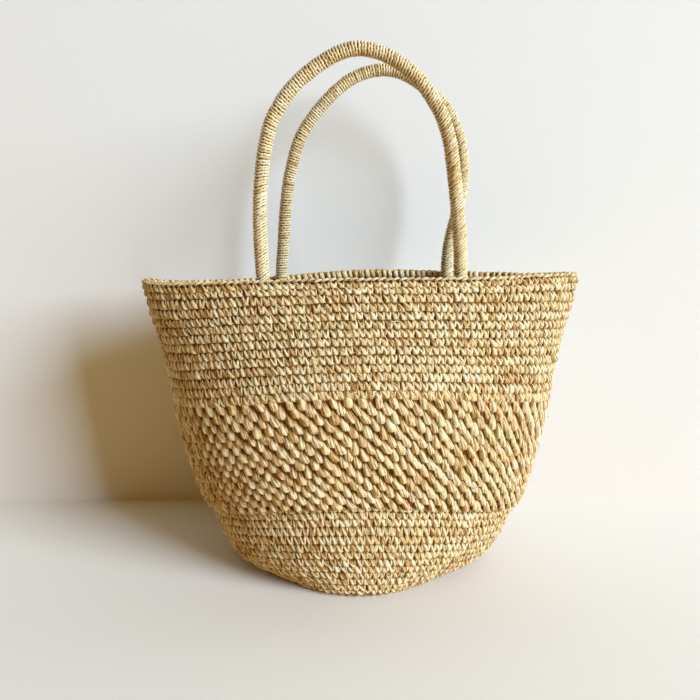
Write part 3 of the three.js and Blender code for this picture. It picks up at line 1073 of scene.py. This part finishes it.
@dataclass
class MouthEdging:
    """The chain along the top edge, whose back loops stand up as knuckles on the inner side.

    Each loop gives the place along the edge in stitches, how far out of the edge's middle and how far
    above it the strand lies, and its half width and half thickness, in millimetres.
    """

    form: WallForm = field(default_factory=WallForm)
    rise: float = 5.2
    stitches: int = 153
    core_radius: float = 1.2
    core_points: int = 145
    core_inward: float = 0.6
    core_drop: float = 0.2
    middle_drop: float = 2.4
    # The core's low tone and depth paint it dark, as shade inside the chain.
    core_tone: float = 0.4
    core_depth: float = 0.5
    outer_tone: float = 0.06
    place_spread: float = 0.05
    outward_spread: float = 0.2
    lift_spread: float = 0.22
    size_spread: float = 0.08
    tone_spread: float = 0.06
    open_span: float = 0.6
    least_open: float = 0.5
    outer_loop: Rows = (
        (-0.68, 1.3, -1.5, 0.9, 0.6),
        (-0.38, 2.0, -1.0, 1.4, 0.9),
        (-0.04, 2.0, -0.1, 1.7, 1.0),
        (0.28, 1.4, 0.6, 1.5, 1.0),
        (0.56, 0.5, 0.4, 0.9, 0.6),
    )
    inner_loop: Rows = (
        (-0.16, -2.4, -8.0, 1.8, 1.0),
        (-0.10, -3.4, -5.0, 2.5, 1.4),
        (-0.02, -3.3, -1.8, 2.9, 1.6),
        (0.10, -2.1, 0.8, 2.6, 1.5),
        (0.26, -0.5, 1.3, 1.4, 0.9),
    )

    def make(self) -> None:
        """Makes the edging and puts it on the bag."""
        piece = StrandWork("mouth_chain", sides=7)
        tone, hue = TONES.draw(piece.random, self.stitches)
        self.loops(piece, self.outer_loop, tone + self.outer_tone, hue)
        self.loops(piece, self.inner_loop, tone, hue)
        self.core(piece)
        settle(piece.make(WALL_RAFFIA), "mouth_edging")

    def core(self, piece: StrandWork) -> None:
        """Lays the plain strand inside the chain, which closes the edging to light; its low tone and depth
        paint it dark as shade.

        Args:
            piece: The piece that it goes into.
        """
        turn = np.linspace(0, FULL_TURN, self.core_points)
        point, _, up_way, out_way = self.form.directions(self.form.mouth, turn)
        outward = self.form.thickness / 2 - self.core_inward
        path = moved(point, (out_way, outward), (up_way, self.rise - self.core_drop))[None]
        tone, hue = np.array([self.core_tone]), np.array([PLAIN_HUE])
        piece.lay(path, out_way, up_way, self.core_radius, self.core_radius, tone, hue, self.core_depth)

    def loops(self, piece: StrandWork, loop: Rows, tone: np.ndarray, hue: np.ndarray) -> None:
        """Lays one loop of each edging stitch.

        Args:
            piece: The piece that they go into.
            loop: The loop's points.
            tone: The tone of each stitch.
            hue: The hue of each stitch.
        """
        random, count = piece.random, self.stitches
        steps, beside, above, half_width, half_depth = np.array(loop, float).T
        angle, _ = self.form.even_angles(self.form.mouth, count, 0.0)
        angle = np.append(angle, angle[0] + FULL_TURN)
        place = np.arange(count)[:, None] + steps + random.normal(0, self.place_spread, (count, 1))
        spread = np.interp(np.mod(place, count), np.arange(count + 1), angle)
        point, _, up_way, out_way = self.form.directions(self.form.mouth, spread)
        outward = self.form.thickness / 2 + beside + random.normal(0, self.outward_spread, (count, 1))
        lift = self.rise + above + random.normal(0, self.lift_spread, (count, 1))
        path = moved(point, (out_way, outward), (up_way, lift))
        along = unit(np.gradient(path, axis=1))
        middle = self.form.thickness / 2
        centre = moved(point, (out_way, middle), (up_way, self.rise - self.middle_drop))
        out = square_to(unit(path - centre), along)
        size = 1 + random.normal(0, self.size_spread, (count, 1))
        # Painted shade: each loop is painted darker where it narrows at its ends, down to the least open
        # share.
        open_air = np.clip((half_width - half_width.min()) / self.open_span + self.least_open, 0, 1)
        tone = np.clip(tone + random.normal(0, self.tone_spread, count), 0, 1)
        piece.lay(path, np.cross(out, along), out, half_width * size, half_depth * size, tone, hue, open_air)


@dataclass
class RoundBase:
    """The base, worked in rounds from its middle, seen from below and from inside.

    The spreads are how unevenly a strand lies beside and along its stitch, as shares, and how unevenly it
    stands, in millimetres. Its stitches are the wall's, flattened and slimmer.
    """

    first_radius: float = 3.0
    radius: float = 91.0
    rounds: int = 11
    stitch: float = 7.4
    twist: float = 0.31
    under: float = 3.1
    over: float = 4.4
    flatten: float = 0.4
    slimmer: float = 0.85
    spreads: tuple[float, float, float] = (0.04, 0.03, 0.06)
    ground_low: float = 3.0
    ground_high: float = 4.2
    ground_hub: float = 0.01
    ground_rings: int = 12
    ground_spokes: int = 96

    def make(self) -> None:
        """Makes the base's two faces and its ground."""
        for name, height, sign, finish in (
            ("base_underside", self.under, -1, WALL_RAFFIA),
            ("base_inside", self.over, 1, SHADED_INNER_RAFFIA),
        ):
            piece = StrandWork(name)
            edges = np.linspace(self.first_radius, self.radius, self.rounds + 1)
            for index, (low, high) in enumerate(zip(edges[:-1], edges[1:])):
                self.work_round(piece, low, high, index * self.twist, height, sign)
            settle(piece.make(finish), "base_disc")
        settle(self.disc().make(SHADE_DARK_GROUND_RAFFIA), "base_disc")

    def work_round(
        self, piece: StrandWork, low: float, high: float, phase: float, height: float, sign: int
    ) -> None:
        """Works one round of stitches.

        Args:
            piece: The piece that it goes into.
            low: Its inner radius, in millimetres.
            high: Its outer radius, in millimetres.
            phase: Where its first stitch starts, in stitches.
            height: The height of the face's ground, in millimetres.
            sign: -1 for the underside and 1 for the inside.
        """
        random = piece.random
        middle = (low + high) / 2
        count = round(FULL_TURN * middle / self.stitch)
        width = FULL_TURN * middle / count
        angle = (np.arange(count) + phase) / count * FULL_TURN
        tone, hue = TONES.draw(random, count)
        outward = np.stack([np.cos(angle), np.sin(angle), np.zeros(count)], axis=-1)[:, None]
        upright = np.array([0.0, 0.0, 1.0])
        round_way = np.cross(outward, sign * upright)
        for lobe in PLAIN_STITCH:
            beside, above, stand, half_width, half_depth = lobe.columns()
            slip, reach, rise = (random.normal(0, spread, (count, 1)) for spread in self.spreads)
            x = (beside + slip) * width
            y = middle - (above + reach) * (high - low)
            lift = height + sign * (stand - 1) * self.flatten + rise
            path = moved(np.zeros(3), (round_way, x), (outward, y), (upright, lift))
            piece.lay(
                path, round_way, sign * upright, half_width * width, half_depth * self.slimmer,
                tone, hue, lobe.open_air(),
            )

    def disc(self) -> StrandWork:
        """Makes the thin ground between the base's two faces, in dark raffia that is painted shade between
        the stitches.

        Returns:
            The piece.
        """
        piece = StrandWork("base_ground")
        radii = np.linspace(self.ground_hub, self.radius, self.ground_rings)
        angles = np.linspace(0, FULL_TURN, self.ground_spokes, endpoint=False)
        radius, angle = np.meshgrid(radii, angles, indexing="ij")
        flat = np.stack([radius * np.cos(angle), radius * np.sin(angle), np.zeros_like(radius)], axis=-1)
        rings = np.concatenate([flat + [0, 0, self.ground_low], flat[::-1] + [0, 0, self.ground_high]])
        piece.add_rings(rings, rings[..., :2], GROUND_SHADE)
        return piece


@dataclass(frozen=True)
class Rope:
    """A rope's route, with a point for each millimetre.

    Wide and deep are how many times as wide and as thick the rope is where it is drawn flat.
    """

    points: np.ndarray
    facing: np.ndarray
    flat: np.ndarray
    wide: float
    deep: float

    @property
    def length(self) -> float:
        """The rope's length, in millimetres."""
        return len(self.points) - 1.0

    def around(self, along: np.ndarray, turn: np.ndarray, radius: np.ndarray | float) -> np.ndarray:
        """Finds points round the rope.

        Args:
            along: How far along the rope each point lies, in millimetres.
            turn: The angle round the rope, from its front towards its outer side.
            radius: The distance from the rope's middle, in millimetres.

        Returns:
            The points.
        """
        each = np.arange(len(self.points), dtype=float)
        tangent = unit(np.gradient(self.points, axis=0))
        front = square_to(self.facing, tangent)
        pressed = np.interp(along, each, self.flat)
        return moved(
            sampled(along, each, self.points),
            (sampled(along, each, front), radius * np.cos(turn) * (1 + pressed * (self.deep - 1))),
            (
                sampled(along, each, np.cross(tangent, front)),
                radius * np.sin(turn) * (1 + pressed * (self.wide - 1)),
            ),
        )


@dataclass
class Handle:
    """One handle: a rope wrapped in raffia, whose ends are drawn flat and sewn down inside the wall.

    The plane and the fold height are where the handle stands and where it bends, and the arch is its
    route above the mouth, as x and z. The slant is how steeply the turns run, in degrees, by shares of
    the rope's length. Turns gives the angle at which a turn starts and ends, and its steps. Each pinch
    gives an angle round the rope, how full the strand is there and how open its edges are, which sets the
    shade painted on them: most on the side of the rope turned from the lamp and in the pits. The tail
    shares are places on a sewn end, from its tip up. Lengths are in millimetres and angles in radians.
    """

    side: Side
    plane: float
    fold_height: float
    arch: tuple[tuple[float, float], ...]
    slant: tuple[tuple[float, float], ...]
    legs: tuple[float, float]
    form: WallForm = field(default_factory=WallForm)
    radius: float = 6.6
    strand: float = 2.65
    strand_depth: float = 1.1
    edging_radius: float = 3.8
    wall_gap: float = 0.6
    flex_above: float = 14.0
    flex_below: float = 8.0
    tail_length: float = 38.0
    tail_half_width: float = 8.0
    tail_half_depth: float = 5.0
    tail_shares: tuple[float, ...] = (1.0, 0.85, 0.7, 0.55, 0.42, 0.3)
    flat_from: float = 0.5
    route_steps: int = 6000
    bare_end: float = 4.0
    end_gap: float = 1.0
    rope_sides: int = 16
    rope_step: float = 3.0
    rope_inset: float = 1.5
    # The rope's low tone and depth paint it dark, as the shade between the turns.
    rope_shade: Colour = (0.2, PLAIN_HUE, 0.1)
    turns: tuple[float, float, int] = (-2.32, 4.06, 34)
    pinches: tuple[tuple[float, float, float], ...] = (
        (-2.4, 0.86, 0.05), (-0.35, 0.86, 0.05), (-0.16, 1.02, 0.60), (-0.05, 1.02, 0.60), (0.10, 0.58, 0.10),
        (0.24, 1.06, 0.95), (0.38, 1.06, 0.95), (0.54, 0.58, 0.10), (0.70, 1.06, 0.95), (0.84, 1.06, 0.95),
        (1.02, 0.62, 0.20), (1.18, 1.02, 0.85), (1.6, 0.94, 0.40), (4.2, 0.86, 0.05),
    )
    wander: float = 0.10
    wander_waves: float = 7.0
    wander_spread: float = 0.04
    wander_phase: float = 6.0
    place_spread: float = 0.03
    step_spread: float = 0.05
    lift_spread: float = 0.07
    width_spread: float = 0.04
    tone_spread: float = 0.08
    tone_middle: float = 0.6
    tone_share: float = 0.6
    hue_share: float = 0.8
    end_sink: float = 0.5
    least_full: float = 0.3
    end_taper: float = 4.0
    slant_reach: float = 1.5
    passes: int = 6
    pass_steps: int = 12
    pass_over: float = 0.04
    sewn_from: float = 0.42
    sewn_share: float = 0.48
    thread_half_width: float = 1.5
    thread_half_depth: float = 0.65
    thread_beside: float = 0.7
    thread_above: float = 0.5
    thread_sunk: float = 0.6
    thread_tone: float = 0.6
    least_out: float = 0.05

    @property
    def name(self) -> str:
        """The side's name."""
        return self.side.name.lower()

    @property
    def tail_start(self) -> float:
        """How far below the mouth the sewn ends start, in millimetres."""
        return self.edging_radius + self.flex_below

    def below_mouth(self, reach: float, distance: np.ndarray) -> Directions:
        """The wall's points and directions some way below the mouth.

        Args:
            reach: The leg's place along X, in millimetres.
            distance: How far below the mouth, in millimetres.

        Returns:
            The points, and unit vectors round the wall, up it and out of it.
        """
        form = self.form
        angle = self.side.value * math.acos(reach / form.stations[-1][0])
        top, low = (form.point(float(level), angle) for level in (form.mouth, form.puff_top))
        level = form.mouth + (form.puff_top - form.mouth) * distance / np.linalg.norm(top - low)
        return form.directions(level, angle)

    def tail(self, reach: float) -> tuple[np.ndarray, np.ndarray, np.ndarray]:
        """The route of one sewn end, from its tip up to the mouth.

        Args:
            reach: The leg's place along X, in millimetres.

        Returns:
            The route's points, the direction that its front faces at each, and how flat it is, from 0 to 1.
        """
        share = np.array(self.tail_shares)
        point, _, _, out = self.below_mouth(reach, self.tail_start + share * self.tail_length)
        flat = np.minimum(1, share / self.flat_from)
        depth = self.radius + (self.tail_half_depth - self.radius) * flat
        mouth = [reach, self.plane, self.fold_height - self.flex_below]
        points = np.vstack([moved(point, (out, -(self.wall_gap + depth))), mouth])
        return points, np.vstack([-self.side.value * out, FORWARD]), np.append(flat, 0.0)

    def route(self) -> Rope:
        """Runs the whole rope from the tip of one sewn end over the arch to the other.

        Returns:
            The rope.
        """
        left, right = (self.tail(reach) for reach in self.legs)
        arch = np.array([(x, self.plane, z) for x, z in self.arch])
        middle = arch, np.tile(FORWARD, (len(arch), 1)), np.zeros(len(arch))
        points, faces, flats = (np.concatenate([a, b, c[::-1]]) for a, b, c in zip(left, middle, right))
        knots = run_along(points, power=0.5)
        fine = np.linspace(0, knots[-1], self.route_steps)
        smooth = smooth_curve(knots, points, fine)
        run = run_along(smooth)
        even = np.linspace(0, run[-1], int(run[-1]) + 1)
        back = np.interp(even, run, fine)
        return Rope(
            points=sampled(even, run, smooth),
            facing=unit(sampled(back, knots, faces)),
            flat=np.interp(back, knots, flats),
            wide=self.tail_half_width / self.radius,
            deep=self.tail_half_depth / self.radius,
        )

    def make(self) -> None:
        """Makes the handle's pieces, in place of its CAD nodes, and joins the sewing to the bag."""
        rope = self.route()
        LOG.info("%s handle: %d mm of rope", self.name, rope.length)
        piece = StrandWork(f"{self.name}_wrapped_handle")
        self.core(piece, rope)
        self.wrap(piece, rope)
        made = piece.make(WRAP_RAFFIA)
        f"{self.name}_handle"
        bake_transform(made)
        nodes = [f"{self.name}_handle_wrap", f"{self.name}_handle_core"]
        nodes += [f"{self.name}_{leg.name.lower()}_{part}" for leg in Leg for part in ("root", "tail")]
        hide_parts(*nodes)
        for leg, reach in zip(Leg, self.legs):
            self.sewing(leg, reach)

    def core(self, piece: StrandWork, rope: Rope) -> None:
        """Lays the rope itself, which shows only between the turns, where its low tone and depth paint it
        dark as shade.

        Args:
            piece: The piece that it goes into.
            rope: The rope.
        """
        length = rope.length
        along, turn = np.broadcast_arrays(
            np.linspace(self.end_gap, length - self.end_gap, int(length / self.rope_step))[:, None],
            np.linspace(-math.pi, math.pi, self.rope_sides, endpoint=False),
        )
        full = np.clip(np.minimum(along, length - along) / self.bare_end, 0, 1) ** 0.5
        rings = rope.around(along, turn, (self.radius - self.rope_inset * self.strand_depth) * full)
        piece.add_rings(rings, np.stack([self.radius * turn, along], axis=-1), self.rope_shade)

    def wrap(self, piece: StrandWork, rope: Rope) -> None:
        """Winds the raffia round the rope, with the turns pinched together in columns of small pits.

        Args:
            piece: The piece that it goes into.
            rope: The rope.
        """
        random, length = piece.random, rope.length
        room = length - 2 * self.bare_end
        count = int(room / self.strand)
        place = np.arange(count) + 0.5 + random.normal(0, self.place_spread, count)
        middle = self.bare_end + place * room / count
        tone, hue = TONES.draw(random, count)
        hue = PLAIN_HUE + self.hue_share * (hue - PLAIN_HUE)
        tone = self.tone_middle + self.tone_share * (tone - TONES.tone)
        slant = np.tan(np.radians(np.interp(middle / length, *zip(*self.slant))))[:, None]
        lit_side = np.where(middle < length / 2, 1.0, -1.0)[:, None]
        start, end, steps = self.turns
        step = np.linspace(start, end, steps) + random.normal(0, self.step_spread, (count, 1))
        # Painted shade: the pinches' edge openness darkens the strands' edges, most on the rope's side turned
        # from the lamp and in the pits.
        fill, edge = (np.interp(step, *np.array(self.pinches).T[[0, column]]) for column in (1, 2))
        turn = lit_side * step
        wander = random.normal(0, self.wander_spread, (count, 1))
        phase = random.uniform(0, self.wander_phase, (count, 1))
        wander = wander + self.wander * np.sin(self.wander_waves * step + phase)
        spiral = self.radius * slant * np.sin(np.clip(turn, -self.slant_reach, self.slant_reach))
        along = middle[:, None] + spiral + wander * self.strand
        along = np.clip(along, self.end_gap, length - self.end_gap)
        # The turns' thinner, sunk ends are also painted darker through their depth, as shade.
        full = np.clip(np.minimum(step - start, end - step) * self.end_taper, self.least_full, 1)
        uneven = random.normal(0, self.lift_spread, (count, 1))
        lift = self.radius - self.strand_depth + uneven - self.end_sink * (1 - full)
        path = rope.around(along, turn, lift)
        ahead = unit(np.gradient(path, axis=1))
        out = square_to(unit(path - rope.around(along, turn, 0.0)), ahead)
        half_width = self.strand / 2 * fill * full * (1 + random.normal(0, self.width_spread, (count, 1)))
        half_depth = self.strand_depth * (1 + full) / 2
        tone = np.clip(tone + random.normal(0, self.tone_spread, count), 0, 1)
        piece.lay(path, np.cross(out, ahead), out, half_width, half_depth, tone, hue, full, edge)

    def sewing(self, leg: Leg, reach: float) -> None:
        """Sews one end down with a raffia thread that crosses over it and back.

        Args:
            leg: The leg.
            reach: Its place along X, in millimetres.
        """
        row = np.arange(self.passes)
        share = self.sewn_from + self.sewn_share * row / (self.passes - 1)
        wall = self.below_mouth(reach, self.tail_start + share * self.tail_length)
        point, round_way, up_way, out_way = (vectors[:, None] for vectors in wall)
        swing = np.linspace(-self.pass_over, 1 + self.pass_over, self.pass_steps) * math.pi
        beside = -np.cos(swing) * np.where(row % 2, -1, 1)[:, None]
        foot = self.wall_gap + self.tail_half_depth - self.thread_sunk
        above = foot + np.sin(swing) * (self.tail_half_depth + self.thread_above)
        wide = self.tail_half_width + self.thread_beside
        path = moved(point, (round_way, beside * wide), (out_way, -above))
        outward = -np.maximum(self.least_out, np.sin(swing))
        out = unit(moved(np.zeros(3), (round_way, beside), (out_way, outward)))
        up = np.broadcast_to(up_way, path.shape)
        piece = StrandWork(f"{self.name}_{leg.name.lower()}_sewing")
        piece.lay(
            *(vectors.reshape(1, -1, 3) for vectors in (path, up, out)),
            self.thread_half_width, self.thread_half_depth, np.array([self.thread_tone]),
            np.array([PLAIN_HUE]), 1.0,
        )
        settle(piece.make(WRAP_RAFFIA), f"{self.name}_{leg.name.lower()}_thread")


@dataclass
class LooseFibres:
    """The short ends of raffia that stand out of the work, with sizes in millimetres."""

    form: WallForm = field(default_factory=WallForm)
    count: int = 110
    lowest: float = 0.6
    under_mouth: float = 0.1
    lengths: tuple[float, float] = (5, 13)
    lifts: tuple[float, float] = (0.8, 3.0)
    curl: float = 1.6
    arching: float = 2.4
    tones: tuple[float, float] = (0.55, 0.95)
    hues: tuple[float, float] = (0.2, 0.85)
    plain_stand: float = 4.8
    puff_stand: float = 8.8
    half_widths: tuple[float, ...] = (0.5, 0.5, 0.45, 0.4, 0.3, 0.15)
    half_depth: float = 0.14

    def make(self) -> None:
        """Makes the fibres and puts them on the bag."""
        piece = StrandWork("loose_fibres", sides=4)
        random, form, count = piece.random, self.form, self.count
        level = random.uniform(self.lowest, form.mouth - self.under_mouth, count)
        angle = random.uniform(0, FULL_TURN, count)
        point, round_way, up_way, out_way = form.directions(level, angle)
        heading = random.uniform(0, FULL_TURN, count)
        way = moved(np.zeros(3), (round_way, np.cos(heading)), (up_way, np.sin(heading)))
        beside = np.cross(way, out_way)
        length = random.uniform(*self.lengths, (count, 1))
        lift = random.uniform(*self.lifts, (count, 1))
        curl = random.normal(0, self.curl, (count, 1))
        on_puffs = (level > form.lower_top) & (level < form.puff_top)
        stand = np.where(on_puffs, self.puff_stand, self.plain_stand)[:, None]
        steps = np.linspace(0, 1, len(self.half_widths))
        path = moved(
            point[:, None],
            (way[:, None], length * steps),
            (beside[:, None], curl * steps**2),
            (out_way[:, None], stand + lift * np.sin(steps * self.arching)),
        )
        tone = random.uniform(*self.tones, count)
        hue = random.uniform(*self.hues, count)
        half_width = np.array(self.half_widths)
        piece.lay(path, beside[:, None], out_way[:, None], half_width, self.half_depth, tone, hue, 1.0)
        made = piece.make(WALL_RAFFIA)
        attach(made, "bag")


@dataclass
class Studio:
    """The pale wall and floor, the soft lamp and the camera, with sizes in metres."""

    wall_depth: float = 0.130
    room_half: float = 2.2
    floor_gap: float = 0.084
    floor_steps: int = 72
    floor_colour: Colour = linear(243, 238, 229)
    floor_bounce: Colour = linear(218, 180, 125)
    wall_colour: Colour = linear(240, 240, 238)
    fill: Colour = (0.20, 0.128, 0.036)
    far_colour: Colour = linear(232, 232, 229)
    lamp: Place = (7.30, -5.30, 4.07)
    lamp_target: Place = (0.0, 0.0, 0.25)
    lamp_size: float = 4.8
    lamp_watts: float = 1530
    lamp_colour: Colour = (0.74, 0.87, 1.01)
    eye: Place = (-0.010, -0.700, 0.380)
    pitch_deg: float = 12.49
    lens_mm: float = 36
    sensor_mm: float = 36

    def make(self) -> None:
        """Makes the room, the lamp and the camera."""
        scene = bpy.context.scene
        scene.view_settings.view_transform = "Standard"
        self.room()
        self.window()
        scene.world = self.surroundings()
        data = bpy.data.cameras.new("eye")
        data.sensor_width = self.sensor_mm
        data.lens = self.lens_mm
        camera = self.hung("eye", data)
        camera.location = self.eye
        camera.rotation_euler = (math.radians(90 - self.pitch_deg), 0, 0)
        scene.camera = camera

    def surroundings(self) -> bpy.types.World:
        """Makes the world, a dim warm fill light that the camera sees as a pale room.

        Returns:
            The world.
        """
        world = bpy.data.worlds.new("room_light")
        world.use_nodes = True
        tree = world.node_tree
        ray = wired(tree, "LightPath", "Is Camera Ray", {})
        feed(tree.nodes["Background"], {"Color": blended(tree, ray, (*self.fill, 1), (*self.far_colour, 1))})
        return world

    def window(self) -> None:
        """Hangs the one lamp, square and soft as a window."""
        data = bpy.data.lights.new("window", "AREA")
        data.shape = "SQUARE"
        data.size = self.lamp_size
        data.energy = self.lamp_watts
        data.color = self.lamp_colour
        lamp = self.hung("window", data)
        lamp.location = self.lamp
        gaze = Vector(self.lamp_target) - Vector(self.lamp)
        lamp.rotation_euler = gaze.to_track_quat("-Z", "Y").to_euler()

    def room(self) -> None:
        """Makes the floor and the wall behind the bag."""
        finish = PlainFinish("pale_floor", self.floor_colour, bounce=self.floor_bounce, one_sided=True)
        floor = self.floor()
        floor.data.materials.append(finish.material())
        half, depth = self.room_half, self.wall_depth
        corners = [(-half, depth, 0.0), (half, depth, 0.0), (half, depth, half), (-half, depth, half)]
        wall = self.sheet("backdrop", corners, [(0, 1, 2, 3)])
        wall.data.materials.append(PlainFinish("pale_wall", self.wall_colour, one_sided=True).material())

    def floor(self) -> bpy.types.Object:
        """Makes the floor, with a round gap hidden under the bag, so that its base has light from below too.

        Returns:
            The floor.
        """
        half, depth = self.room_half, self.wall_depth
        corners = [math.atan2(y, x) for x in (-half, half) for y in (-half, depth)]
        angles = sorted([*np.linspace(-math.pi, math.pi, self.floor_steps, endpoint=False), *corners])
        points = []
        for angle in angles:
            x, y = math.cos(angle), math.sin(angle)
            reach = min(half / max(abs(x), TINY), (depth if y > 0 else half) / max(abs(y), TINY))
            points += [(self.floor_gap * x, self.floor_gap * y, 0.0), (reach * x, reach * y, 0.0)]
        count = len(points)
        faces = [(i, i + 1, (i + 3) % count, (i + 2) % count) for i in range(0, count, 2)]
        return self.sheet("floor", points, faces)

    def sheet(self, name: str, points: list[Place], faces: list[tuple[int, ...]]) -> bpy.types.Object:
        """Makes one flat sheet of the room.

        Args:
            name: Its name.
            points: Its points, in metres.
            faces: Its faces, which are seen from the side of the bag.

        Returns:
            The sheet.
        """
        mesh = bpy.data.meshes.new(name)
        mesh.from_pydata(points, [], faces)
        return self.hung(name, mesh)

    @staticmethod
    def hung(name: str, data: bpy.types.ID) -> bpy.types.Object:
        """Puts a sheet, lamp or camera in the scene.

        Args:
            name: Its name.
            data: The mesh, light or camera that it shows.

        Returns:
            The object.
        """
        made = bpy.data.objects.new(name, data)
        bpy.context.scene.collection.objects.link(made)
        return made


FRONT_HANDLE = Handle(
    side=Side.FRONT,
    plane=-59.75,
    fold_height=303.61,
    legs=(-89.0, 91.0),
    arch=(
        (-89.9, 309), (-90.9, 335), (-91.0, 365), (-89.0, 394), (-84.6, 422), (-78.3, 444), (-73.3, 452.5),
        (-68.4, 460.5), (-61.4, 469), (-53.4, 477), (-43.2, 485), (-31, 493), (-18.0, 499.3), (-4.0, 502.4),
        (10.5, 500.6), (25.5, 495), (38.8, 486.5), (54.0, 472), (69.0, 450), (74.7, 436), (78.6, 422),
        (80.8, 408), (83.0, 394), (85.0, 379), (86.6, 365), (88.4, 350), (89.8, 335), (91.0, 312),
    ),
    slant=(
        (0.0, 28), (0.21, 27), (0.25, 16), (0.28, 2), (0.32, -10), (0.4, -3), (0.5, 5), (0.6, 16), (0.7, 32),
        (1.0, 34),
    ),
)
BACK_HANDLE = Handle(
    side=Side.BACK,
    plane=58.65,
    fold_height=293.16,
    legs=(-84.5, 95.5),
    arch=(
        (-84.0, 301), (-81.7, 327), (-79.0, 362), (-74.2, 396), (-70.6, 411), (-66.4, 426), (-60.2, 441),
        (-50.3, 456), (-38.3, 470.5), (-23.3, 485), (-7.0, 496.5), (9.0, 502.5), (26.0, 504.4), (42.0, 501.5),
        (56.0, 494.5), (70.0, 485), (82.0, 475), (93.4, 461), (101.0, 445), (105.8, 428), (108.3, 412),
        (108.6, 396), (107.1, 379), (103.6, 362), (99.4, 344), (96.0, 327), (94.5, 303),
    ),
    slant=((0.0, 8), (0.2, 6), (0.3, -5), (0.45, 0), (0.6, 8), (0.72, 26), (0.85, 28), (1.0, 22)),
)


def main() -> None:
    """Builds the bag's pieces in order and sets them in the studio."""
    logging.basicConfig(level=logging.INFO, format="%(message)s")
    Studio().make()
    BagWall().make()
    MouthEdging().make()
    RoundBase().make()
    FRONT_HANDLE.make()
    BACK_HANDLE.make()
    LooseFibres().make()


if __name__ == "__main__":
    main()
